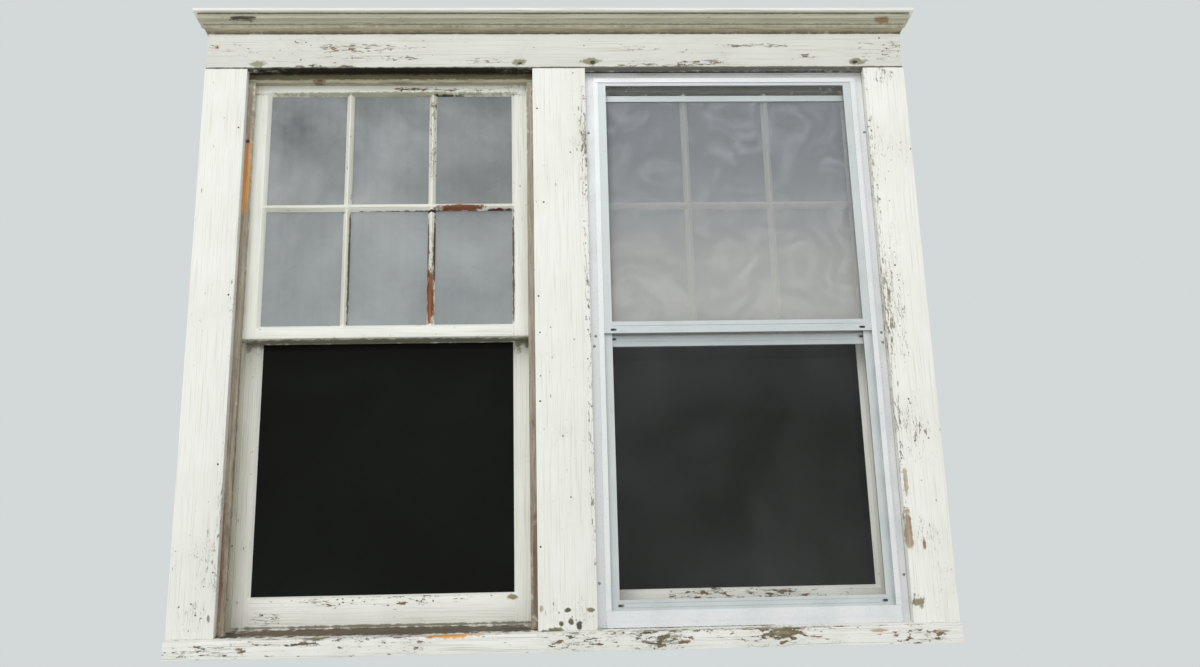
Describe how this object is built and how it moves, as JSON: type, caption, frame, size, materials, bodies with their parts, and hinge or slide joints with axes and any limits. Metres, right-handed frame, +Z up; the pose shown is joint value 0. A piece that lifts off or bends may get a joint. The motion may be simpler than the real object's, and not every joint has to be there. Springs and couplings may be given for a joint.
{
  "type": "twin double-hung sash window in its frame",
  "caption": "Weathered wooden sash window: twin sliding units with divided upper lights in one cased frame, with cords, weights, locks and a storm window.",
  "frame": {"origin": "on the mullion's centre line, in the wall plane behind the casings, at the height of the sill's front lower edge", "axes": "+X along the wall to the right seen from the street, +Y into the room, +Z up"},
  "size_m": [1.982, 0.198, 1.7257],
  "materials": {
    "white_paint": "chalky old white paint, cracked and chipped, on softwood",
    "weathered_paint": "worn paint with bare brown softwood showing",
    "jamb_wood": "cream paint on softwood, bare where the sashes run",
    "sash_paint": "cream paint, peeling, on softwood",
    "window_glass": "clear drawn window glass",
    "lock_paint": "white painted cast metal",
    "lift_iron": "painted iron",
    "pulley_iron": "black cast iron, worn at the groove",
    "weight_iron": "rough sand-cast iron, rust brown",
    "cord_cotton": "braided cotton sash cord, greyed",
    "storm_aluminium": "mill aluminium, white oxidised paint",
    "latch_steel": "dull steel",
    "screen_mesh": "glass fibre insect screen"
  },
  "bodies": {
    "frame": {"sill": "white_paint", "head_jamb": "jamb_wood", "pulley_stiles": "jamb_wood", "pocket_covers": "jamb_wood", "side_casings": "white_paint", "mullion_casing": "white_paint", "head_casing": "white_paint", "crown_moulding": "white_paint", "drip_cap": "white_paint", "blind_stops": "weathered_paint", "parting_beads": "jamb_wood", "inner_stops": "jamb_wood", "pulley_cases": "pulley_iron", "storm_frame": "storm_aluminium", "left_upper_cords": "cord_cotton", "left_lower_cords": "cord_cotton", "right_upper_cords": "cord_cotton", "right_lower_cords": "cord_cotton"},
    "left_upper_sash": {"left_upper_sash": "sash_paint", "left_upper_muntins": "sash_paint", "left_upper_panes": "window_glass", "left_lock_keeper": "lock_paint"},
    "left_upper_weights": {"left_upper_weights": "weight_iron"},
    "left_upper_left_pulley": {"left_upper_left_pulley": "pulley_iron"},
    "left_upper_right_pulley": {"left_upper_right_pulley": "pulley_iron"},
    "left_lower_sash": {"left_lower_sash": "sash_paint", "left_lower_pane": "window_glass", "left_lock_base": "lock_paint", "left_sash_lifts": "lift_iron"},
    "left_lower_weights": {"left_lower_weights": "weight_iron"},
    "left_lower_left_pulley": {"left_lower_left_pulley": "pulley_iron"},
    "left_lower_right_pulley": {"left_lower_right_pulley": "pulley_iron"},
    "left_lock_cam": {"left_lock_cam": "lock_paint"},
    "right_upper_sash": {"right_upper_sash": "sash_paint", "right_upper_muntins": "sash_paint", "right_upper_panes": "window_glass", "right_lock_keeper": "lock_paint"},
    "right_upper_weights": {"right_upper_weights": "weight_iron"},
    "right_upper_left_pulley": {"right_upper_left_pulley": "pulley_iron"},
    "right_upper_right_pulley": {"right_upper_right_pulley": "pulley_iron"},
    "right_lower_sash": {"right_lower_sash": "sash_paint", "right_lower_pane": "window_glass", "right_lock_base": "lock_paint", "right_sash_lifts": "lift_iron"},
    "right_lower_weights": {"right_lower_weights": "weight_iron"},
    "right_lower_left_pulley": {"right_lower_left_pulley": "pulley_iron"},
    "right_lower_right_pulley": {"right_lower_right_pulley": "pulley_iron"},
    "right_lock_cam": {"right_lock_cam": "lock_paint"},
    "storm_upper_panel": {"storm_upper_rails": "storm_aluminium", "storm_upper_glass": "window_glass"},
    "storm_upper_left_latch": {"storm_upper_left_latch": "latch_steel"},
    "storm_upper_right_latch": {"storm_upper_right_latch": "latch_steel"},
    "storm_lower_panel": {"storm_lower_rails": "storm_aluminium", "storm_lower_glass": "window_glass"},
    "storm_lower_left_latch": {"storm_lower_left_latch": "latch_steel"},
    "storm_lower_right_latch": {"storm_lower_right_latch": "latch_steel"},
    "screen_panel": {"screen_rails": "storm_aluminium", "screen_mesh": "screen_mesh"},
    "screen_left_latch": {"screen_left_latch": "latch_steel"},
    "screen_right_latch": {"screen_right_latch": "latch_steel"}
  },
  "joints": [
    {"name": "left_upper_sash_slide", "type": "slide", "parent": "frame", "child": "left_upper_sash", "axis": [0, 0, -1], "range_m": [0, 0.65], "deforming": ["left_upper_cords"]},
    {"name": "left_upper_weights_slide", "type": "slide", "parent": "frame", "child": "left_upper_weights", "axis": [0, 0, 1], "range_m": [0, 0.65]},
    {"name": "left_upper_left_pulley_spin", "type": "hinge", "parent": "frame", "child": "left_upper_left_pulley", "pos_m": [-0.8575, 0.037, 1.44022], "axis": [0, 1, 0], "continuous": true},
    {"name": "left_upper_right_pulley_spin", "type": "hinge", "parent": "frame", "child": "left_upper_right_pulley", "pos_m": [-0.0575, 0.037, 1.44022], "axis": [0, 1, 0], "continuous": true},
    {"name": "left_lower_sash_slide", "type": "slide", "parent": "frame", "child": "left_lower_sash", "axis": [0, 0, 1], "range_m": [0, 0.65], "deforming": ["left_lower_cords"]},
    {"name": "left_lower_weights_slide", "type": "slide", "parent": "frame", "child": "left_lower_weights", "axis": [0, 0, -1], "range_m": [0, 0.65]},
    {"name": "left_lower_left_pulley_spin", "type": "hinge", "parent": "frame", "child": "left_lower_left_pulley", "pos_m": [-0.8575, 0.0857, 1.44022], "axis": [0, 1, 0], "continuous": true},
    {"name": "left_lower_right_pulley_spin", "type": "hinge", "parent": "frame", "child": "left_lower_right_pulley", "pos_m": [-0.0575, 0.0857, 1.44022], "axis": [0, 1, 0], "continuous": true},
    {"name": "left_lock_cam_turn", "type": "hinge", "parent": "left_lower_sash", "child": "left_lock_cam", "pos_m": [-0.4575, 0.0737, 0.84122], "axis": [0, 0, -1], "range_deg": [0, 170]},
    {"name": "right_upper_sash_slide", "type": "slide", "parent": "frame", "child": "right_upper_sash", "axis": [0, 0, -1], "range_m": [0, 0.65], "deforming": ["right_upper_cords"]},
    {"name": "right_upper_weights_slide", "type": "slide", "parent": "frame", "child": "right_upper_weights", "axis": [0, 0, 1], "range_m": [0, 0.65]},
    {"name": "right_upper_left_pulley_spin", "type": "hinge", "parent": "frame", "child": "right_upper_left_pulley", "pos_m": [0.0575, 0.037, 1.44022], "axis": [0, 1, 0], "continuous": true},
    {"name": "right_upper_right_pulley_spin", "type": "hinge", "parent": "frame", "child": "right_upper_right_pulley", "pos_m": [0.8575, 0.037, 1.44022], "axis": [0, 1, 0], "continuous": true},
    {"name": "right_lower_sash_slide", "type": "slide", "parent": "frame", "child": "right_lower_sash", "axis": [0, 0, 1], "range_m": [0, 0.65], "deforming": ["right_lower_cords"]},
    {"name": "right_lower_weights_slide", "type": "slide", "parent": "frame", "child": "right_lower_weights", "axis": [0, 0, -1], "range_m": [0, 0.65]},
    {"name": "right_lower_left_pulley_spin", "type": "hinge", "parent": "frame", "child": "right_lower_left_pulley", "pos_m": [0.0575, 0.0857, 1.44022], "axis": [0, 1, 0], "continuous": true},
    {"name": "right_lower_right_pulley_spin", "type": "hinge", "parent": "frame", "child": "right_lower_right_pulley", "pos_m": [0.8575, 0.0857, 1.44022], "axis": [0, 1, 0], "continuous": true},
    {"name": "right_lock_cam_turn", "type": "hinge", "parent": "right_lower_sash", "child": "right_lock_cam", "pos_m": [0.4575, 0.0737, 0.84122], "axis": [0, 0, -1], "range_deg": [0, 170]},
    {"name": "storm_upper_slide", "type": "slide", "parent": "frame", "child": "storm_upper_panel", "axis": [0, 0, -1], "range_m": [0, 0.6]},
    {"name": "storm_upper_left_latch_pull", "type": "slide", "parent": "storm_upper_panel", "child": "storm_upper_left_latch", "axis": [1, 0, 0], "range_m": [0, 0.006], "stiffness_N_per_m": 200, "springref_m": -0.004},
    {"name": "storm_upper_right_latch_pull", "type": "slide", "parent": "storm_upper_panel", "child": "storm_upper_right_latch", "axis": [-1, 0, 0], "range_m": [0, 0.006], "stiffness_N_per_m": 200, "springref_m": -0.004},
    {"name": "storm_lower_slide", "type": "slide", "parent": "frame", "child": "storm_lower_panel", "axis": [0, 0, 1], "range_m": [0, 0.62]},
    {"name": "storm_lower_left_latch_pull", "type": "slide", "parent": "storm_lower_panel", "child": "storm_lower_left_latch", "axis": [1, 0, 0], "range_m": [0, 0.006], "stiffness_N_per_m": 200, "springref_m": -0.004},
    {"name": "storm_lower_right_latch_pull", "type": "slide", "parent": "storm_lower_panel", "child": "storm_lower_right_latch", "axis": [-1, 0, 0], "range_m": [0, 0.006], "stiffness_N_per_m": 200, "springref_m": -0.004},
    {"name": "screen_slide", "type": "slide", "parent": "frame", "child": "screen_panel", "axis": [0, 0, -1], "range_m": [0, 0.66]},
    {"name": "screen_left_latch_pull", "type": "slide", "parent": "screen_panel", "child": "screen_left_latch", "axis": [1, 0, 0], "range_m": [0, 0.006], "stiffness_N_per_m": 200, "springref_m": -0.004},
    {"name": "screen_right_latch_pull", "type": "slide", "parent": "screen_panel", "child": "screen_right_latch", "axis": [-1, 0, 0], "range_m": [0, 0.006], "stiffness_N_per_m": 200, "springref_m": -0.004}
  ],
  "couplings": [
    {"joint": "left_upper_weights_slide", "follows": "left_upper_sash_slide", "ratio": 1},
    {"joint": "left_upper_left_pulley_spin", "follows": "left_upper_sash_slide", "rad_per_m": 40},
    {"joint": "left_upper_right_pulley_spin", "follows": "left_upper_sash_slide", "rad_per_m": -40},
    {"joint": "left_lower_weights_slide", "follows": "left_lower_sash_slide", "ratio": 1},
    {"joint": "left_lower_left_pulley_spin", "follows": "left_lower_sash_slide", "rad_per_m": -40},
    {"joint": "left_lower_right_pulley_spin", "follows": "left_lower_sash_slide", "rad_per_m": 40},
    {"joint": "right_upper_weights_slide", "follows": "right_upper_sash_slide", "ratio": 1},
    {"joint": "right_upper_left_pulley_spin", "follows": "right_upper_sash_slide", "rad_per_m": 40},
    {"joint": "right_upper_right_pulley_spin", "follows": "right_upper_sash_slide", "rad_per_m": -40},
    {"joint": "right_lower_weights_slide", "follows": "right_lower_sash_slide", "ratio": 1},
    {"joint": "right_lower_left_pulley_spin", "follows": "right_lower_sash_slide", "rad_per_m": -40},
    {"joint": "right_lower_right_pulley_spin", "follows": "right_lower_sash_slide", "rad_per_m": 40}
  ]
}
